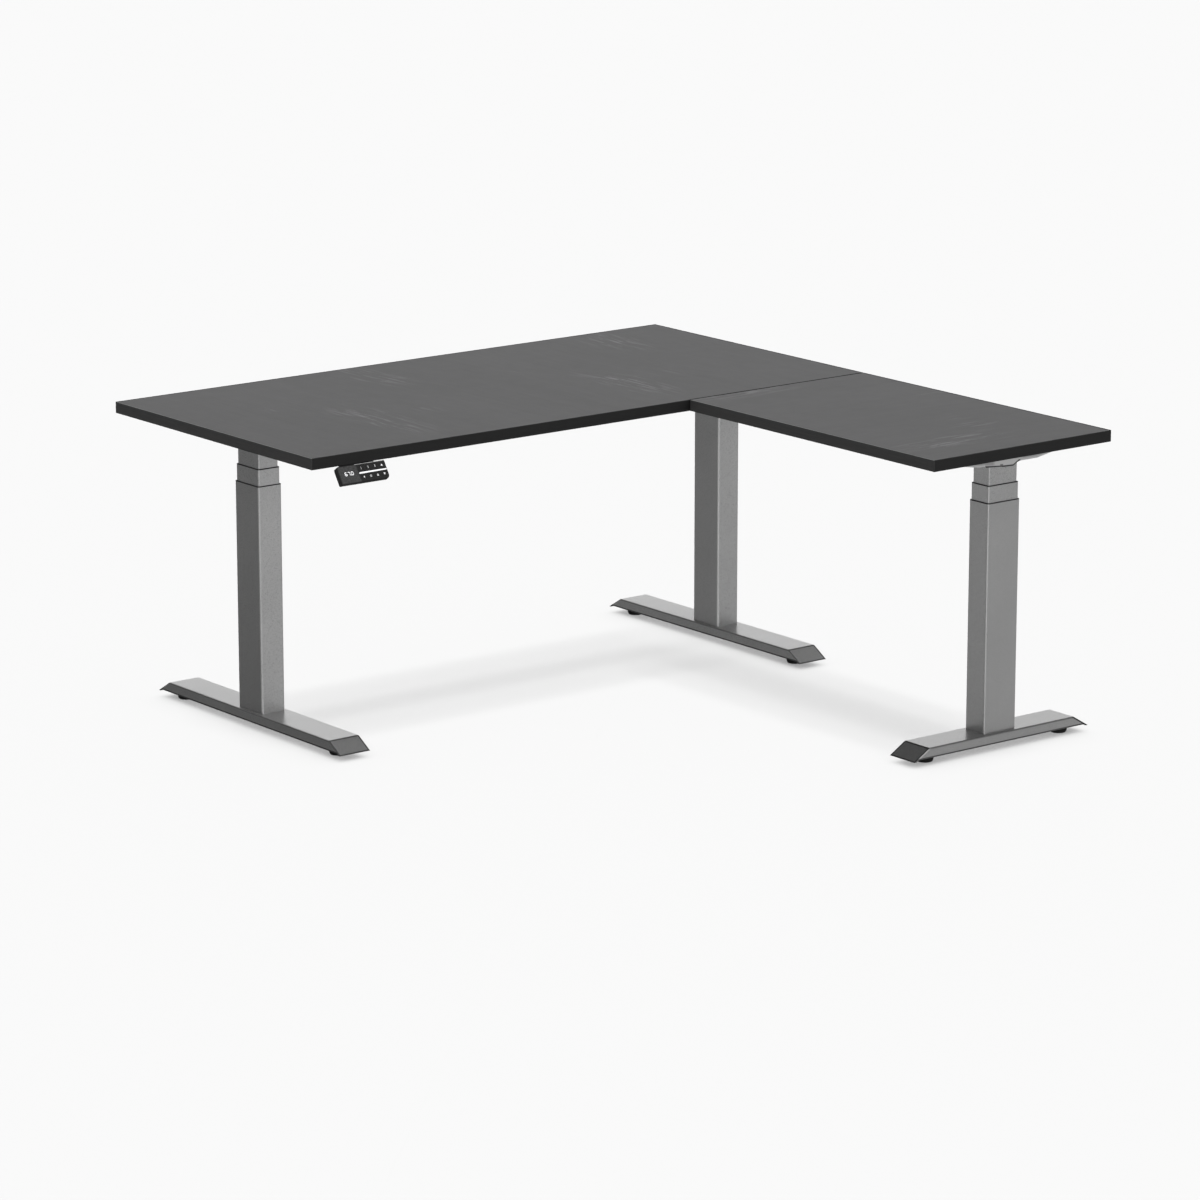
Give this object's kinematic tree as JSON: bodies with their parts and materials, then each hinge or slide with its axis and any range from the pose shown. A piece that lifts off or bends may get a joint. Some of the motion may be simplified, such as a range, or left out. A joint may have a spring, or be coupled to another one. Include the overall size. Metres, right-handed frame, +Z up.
{
  "type": "height adjustable standing desk",
  "caption": "L-shaped height adjustable desk with three telescopic column legs, sloping feet, screw-drive columns and a tilted control handset.",
  "frame": {"origin": "on the floor, under the middle of the rectangle that encloses the two desktops", "axes": "+Z up; the main desktop lies along X at the back (+Y), the return desktop comes forward (-Y) at the right end (+X)"},
  "size_m": [1.5, 1.55, 0.67],
  "materials": {
    "desk_laminate": "dark grey wood-grain laminate on chipboard, matt, with a darker edge band",
    "grey_powder_coat": "grey powder coat, fine texture, satin",
    "collar_plastic": "black guide plastic, matt",
    "zinc_steel": "bright zinc plate",
    "screw_steel": "rolled steel, greased",
    "motor_steel": "dark enamel",
    "black_plastic": "fine moulded texture",
    "board_laminate": "green circuit board",
    "handset_plastic": "matt black moulding",
    "handset_gloss": "satin-gloss overlay with a bright stripe, key marks and a numeric display",
    "glide_rubber": "black rubberised plastic",
    "key_plastic": "satin overlay with a pale key mark"
  },
  "bodies": {
    "base": {"left_foot": "grey_powder_coat", "corner_foot": "grey_powder_coat", "return_foot": "grey_powder_coat", "left_outer_tube": "grey_powder_coat", "corner_outer_tube": "grey_powder_coat", "return_outer_tube": "grey_powder_coat", "outer_collars": "collar_plastic", "base_nut_posts": "zinc_steel", "foot_bolts": "zinc_steel"},
    "left_middle": {"left_middle_tube": "grey_powder_coat", "left_middle_collar": "collar_plastic", "left_middle_nut_post": "zinc_steel"},
    "corner_middle": {"corner_middle_tube": "grey_powder_coat", "corner_middle_collar": "collar_plastic", "corner_middle_nut_post": "zinc_steel"},
    "return_middle": {"return_middle_tube": "grey_powder_coat", "return_middle_collar": "collar_plastic", "return_middle_nut_post": "zinc_steel"},
    "left_hollow_screw_body": {"left_hollow_screw": "screw_steel"},
    "corner_hollow_screw_body": {"corner_hollow_screw": "screw_steel"},
    "return_hollow_screw_body": {"return_hollow_screw": "screw_steel"},
    "left_drive_screw_body": {"left_drive_screw": "screw_steel"},
    "corner_drive_screw_body": {"corner_drive_screw": "screw_steel"},
    "return_drive_screw_body": {"return_drive_screw": "screw_steel"},
    "top": {"left_inner_tube": "grey_powder_coat", "corner_inner_tube": "grey_powder_coat", "return_inner_tube": "grey_powder_coat", "left_gear_motor": "motor_steel", "corner_gear_motor": "motor_steel", "return_gear_motor": "motor_steel", "left_top_bracket": "grey_powder_coat", "corner_top_bracket": "grey_powder_coat", "return_top_bracket": "grey_powder_coat", "main_desktop": "desk_laminate", "return_desktop": "desk_laminate", "main_rail_front": "grey_powder_coat", "main_rail_rear": "grey_powder_coat", "return_rail_inner": "grey_powder_coat", "return_rail_outer": "grey_powder_coat", "control_box_case": "black_plastic", "control_box_lid": "black_plastic", "control_board": "board_laminate", "handset_case": "handset_plastic", "handset_face": "handset_gloss", "frame_bolts": "zinc_steel", "desktop_screws": "zinc_steel"},
    "left_rear_leveller_body": {"left_rear_leveller": "glide_rubber"},
    "left_front_leveller_body": {"left_front_leveller": "glide_rubber"},
    "corner_rear_leveller_body": {"corner_rear_leveller": "glide_rubber"},
    "corner_front_leveller_body": {"corner_front_leveller": "glide_rubber"},
    "return_inner_leveller_body": {"return_inner_leveller": "glide_rubber"},
    "return_outer_leveller_body": {"return_outer_leveller": "glide_rubber"},
    "key_1_body": {"key_1": "key_plastic"},
    "key_2_body": {"key_2": "key_plastic"},
    "key_3_body": {"key_3": "key_plastic"},
    "key_up_body": {"key_up": "key_plastic"},
    "key_4_body": {"key_4": "key_plastic"},
    "key_set_body": {"key_set": "key_plastic"},
    "key_lock_body": {"key_lock": "key_plastic"},
    "key_down_body": {"key_down": "key_plastic"}
  },
  "joints": [
    {"name": "lift", "type": "slide", "parent": "base", "child": "top", "axis": [0, 0, 1], "range_m": [-0.045, 0.605]},
    {"name": "left_middle_slide", "type": "slide", "parent": "base", "child": "left_middle", "axis": [0, 0, 1], "range_m": [-0.0226, 0.3026]},
    {"name": "corner_middle_slide", "type": "slide", "parent": "base", "child": "corner_middle", "axis": [0, 0, 1], "range_m": [-0.0226, 0.3026]},
    {"name": "return_middle_slide", "type": "slide", "parent": "base", "child": "return_middle", "axis": [0, 0, 1], "range_m": [-0.0226, 0.3026]},
    {"name": "left_hollow_screw_turn", "type": "hinge", "parent": "left_middle", "child": "left_hollow_screw_body", "pos_m": [-0.632, 0.4, 0.2], "axis": [0, 0, 1], "range_deg": [-1030, 13640]},
    {"name": "left_drive_screw_turn", "type": "hinge", "parent": "top", "child": "left_drive_screw_body", "pos_m": [-0.632, 0.4, 0.3], "axis": [0, 0, 1], "range_deg": [-1030, 13640]},
    {"name": "corner_hollow_screw_turn", "type": "hinge", "parent": "corner_middle", "child": "corner_hollow_screw_body", "pos_m": [0.632, 0.4, 0.2], "axis": [0, 0, 1], "range_deg": [-1030, 13640]},
    {"name": "corner_drive_screw_turn", "type": "hinge", "parent": "top", "child": "corner_drive_screw_body", "pos_m": [0.632, 0.4, 0.3], "axis": [0, 0, 1], "range_deg": [-1030, 13640]},
    {"name": "return_hollow_screw_turn", "type": "hinge", "parent": "return_middle", "child": "return_hollow_screw_body", "pos_m": [0.4975, -0.69, 0.2], "axis": [0, 0, 1], "range_deg": [-1030, 13640]},
    {"name": "return_drive_screw_turn", "type": "hinge", "parent": "top", "child": "return_drive_screw_body", "pos_m": [0.4975, -0.69, 0.3], "axis": [0, 0, 1], "range_deg": [-1030, 13640]},
    {"name": "left_rear_leveller_travel", "type": "slide", "parent": "base", "child": "left_rear_leveller_body", "axis": [0, 0, -1], "range_m": [0, 0.01]},
    {"name": "left_front_leveller_travel", "type": "slide", "parent": "base", "child": "left_front_leveller_body", "axis": [0, 0, -1], "range_m": [0, 0.01]},
    {"name": "corner_rear_leveller_travel", "type": "slide", "parent": "base", "child": "corner_rear_leveller_body", "axis": [0, 0, -1], "range_m": [0, 0.01]},
    {"name": "corner_front_leveller_travel", "type": "slide", "parent": "base", "child": "corner_front_leveller_body", "axis": [0, 0, -1], "range_m": [0, 0.01]},
    {"name": "return_inner_leveller_travel", "type": "slide", "parent": "base", "child": "return_inner_leveller_body", "axis": [0, 0, -1], "range_m": [0, 0.01]},
    {"name": "return_outer_leveller_travel", "type": "slide", "parent": "base", "child": "return_outer_leveller_body", "axis": [0, 0, -1], "range_m": [0, 0.01]},
    {"name": "key_1_press", "type": "slide", "parent": "top", "child": "key_1_body", "axis": [0, 0.8358, -0.549], "range_m": [0, 0.0006], "stiffness_N_per_m": 1500},
    {"name": "key_2_press", "type": "slide", "parent": "top", "child": "key_2_body", "axis": [0, 0.8358, -0.549], "range_m": [0, 0.0006], "stiffness_N_per_m": 1500},
    {"name": "key_3_press", "type": "slide", "parent": "top", "child": "key_3_body", "axis": [0, 0.8358, -0.549], "range_m": [0, 0.0006], "stiffness_N_per_m": 1500},
    {"name": "key_up_press", "type": "slide", "parent": "top", "child": "key_up_body", "axis": [0, 0.8358, -0.549], "range_m": [0, 0.0006], "stiffness_N_per_m": 1500},
    {"name": "key_4_press", "type": "slide", "parent": "top", "child": "key_4_body", "axis": [0, 0.8358, -0.549], "range_m": [0, 0.0006], "stiffness_N_per_m": 1500},
    {"name": "key_set_press", "type": "slide", "parent": "top", "child": "key_set_body", "axis": [0, 0.8358, -0.549], "range_m": [0, 0.0006], "stiffness_N_per_m": 1500},
    {"name": "key_lock_press", "type": "slide", "parent": "top", "child": "key_lock_body", "axis": [0, 0.8358, -0.549], "range_m": [0, 0.0006], "stiffness_N_per_m": 1500},
    {"name": "key_down_press", "type": "slide", "parent": "top", "child": "key_down_body", "axis": [0, 0.8358, -0.549], "range_m": [0, 0.0006], "stiffness_N_per_m": 1500}
  ],
  "couplings": [
    {"joint": "left_middle_slide", "follows": "lift", "ratio": 0.5},
    {"joint": "corner_middle_slide", "follows": "lift", "ratio": 0.5},
    {"joint": "return_middle_slide", "follows": "lift", "ratio": 0.5},
    {"joint": "left_hollow_screw_turn", "follows": "lift", "rad_per_m": 392.7},
    {"joint": "left_drive_screw_turn", "follows": "lift", "rad_per_m": 392.7},
    {"joint": "corner_hollow_screw_turn", "follows": "lift", "rad_per_m": 392.7},
    {"joint": "corner_drive_screw_turn", "follows": "lift", "rad_per_m": 392.7},
    {"joint": "return_hollow_screw_turn", "follows": "lift", "rad_per_m": 392.7},
    {"joint": "return_drive_screw_turn", "follows": "lift", "rad_per_m": 392.7}
  ]
}
